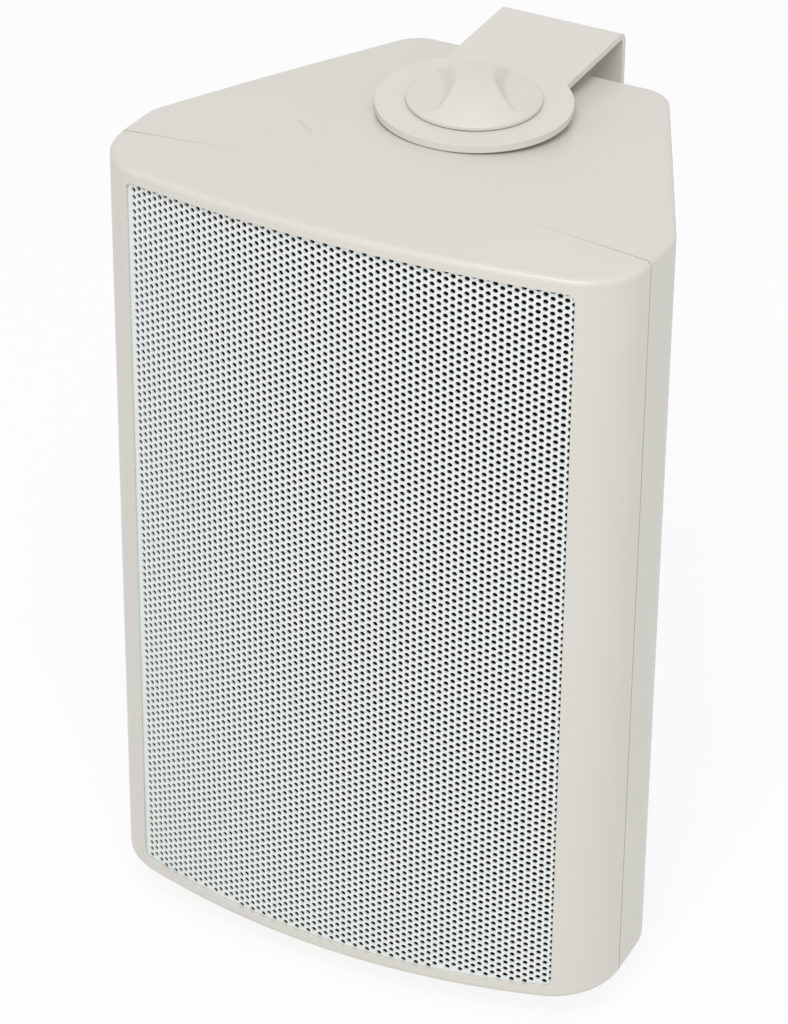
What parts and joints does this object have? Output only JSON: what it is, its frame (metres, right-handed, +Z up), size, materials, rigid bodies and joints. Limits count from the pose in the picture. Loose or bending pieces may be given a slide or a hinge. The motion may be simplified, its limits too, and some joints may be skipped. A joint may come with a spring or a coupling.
{
  "type": "wall loudspeaker",
  "caption": "White wall loudspeaker with a bowed perforated grille and a tapered cabinet that swivels in a U-shaped steel bracket clamped by hand knobs.",
  "frame": {"origin": "middle of the bracket's back face, where it lies on the wall", "axes": "+Z up, +Y into the wall, the grille faces -Y"},
  "size_m": [0.1626, 0.1494, 0.261],
  "materials": {
    "white_plastic": "fine satin moulding",
    "white_steel": "powder coat",
    "white_grille": "powder coat",
    "black_cloth": "thin open cloth",
    "black_plastic": "matt moulding",
    "red_plastic": "gloss moulding",
    "cone_paper": "pressed pulp",
    "black_rubber": "moulded rubber",
    "amber_cloth": "resin-dipped cloth",
    "dome_cloth": "coated silk",
    "black_steel": "black paint",
    "zinc_steel": "zinc plate",
    "ferrite": "sintered, dark grey",
    "copper": "enamelled copper wire",
    "brass": "turned",
    "board_green": "solder mask",
    "capacitor_sleeve": "shrunk sleeve",
    "resistor_white": "cement case"
  },
  "bodies": {
    "bracket": {"wall_bracket": "white_steel"},
    "cabinet": {"baffle_screws": "zinc_steel", "bottom_insert": "brass", "bottom_washer": "black_rubber", "crossover_board": "board_green", "crossover_capacitor": "capacitor_sleeve", "crossover_coil": "copper", "crossover_resistor": "resistor_white", "crossover_screws": "zinc_steel", "front_baffle": "black_plastic", "front_bezel": "white_plastic", "front_grille": "white_grille", "grille_cloth": "black_cloth", "rear_housing": "white_plastic", "terminal_contacts": "brass", "terminal_cup": "black_plastic", "top_insert": "brass", "top_washer": "black_rubber", "tweeter_dome": "dome_cloth", "tweeter_faceplate": "black_plastic", "tweeter_magnet": "ferrite", "tweeter_screws": "zinc_steel", "woofer_basket": "black_steel", "woofer_cone": "cone_paper", "woofer_dust_cap": "cone_paper", "woofer_gasket": "black_rubber", "woofer_magnet": "ferrite", "woofer_screws": "zinc_steel", "woofer_spider": "amber_cloth", "woofer_surround": "black_rubber", "woofer_top_plate": "zinc_steel", "woofer_voice_coil": "copper", "woofer_yoke": "zinc_steel"},
    "top_knob": {"top_knob": "white_plastic", "top_stud": "zinc_steel"},
    "bottom_knob": {"bottom_knob": "white_plastic", "bottom_stud": "zinc_steel"},
    "red_lever": {"terminal_lever_red": "red_plastic"},
    "black_lever": {"terminal_lever_black": "black_plastic"}
  },
  "joints": [
    {"name": "swivel", "type": "hinge", "parent": "bracket", "child": "cabinet", "pos_m": [0, -0.0614, 0], "axis": [0, 0, 1], "range_deg": [-60, 60]},
    {"name": "top_knob_turn", "type": "hinge", "parent": "cabinet", "child": "top_knob", "pos_m": [0, -0.0614, 0.1221], "axis": [0, 0, 1], "continuous": true},
    {"name": "bottom_knob_turn", "type": "hinge", "parent": "cabinet", "child": "bottom_knob", "pos_m": [0, -0.0614, -0.1221], "axis": [0, 0, 1], "continuous": true},
    {"name": "red_lever_press", "type": "hinge", "parent": "cabinet", "child": "red_lever", "pos_m": [0.0105, -0.023, -0.061], "axis": [-1, 0, 0], "range_deg": [0, 15], "stiffness_Nm_per_rad": 0.05},
    {"name": "black_lever_press", "type": "hinge", "parent": "cabinet", "child": "black_lever", "pos_m": [-0.0105, -0.023, -0.061], "axis": [-1, 0, 0], "range_deg": [0, 15], "stiffness_Nm_per_rad": 0.05}
  ]
}
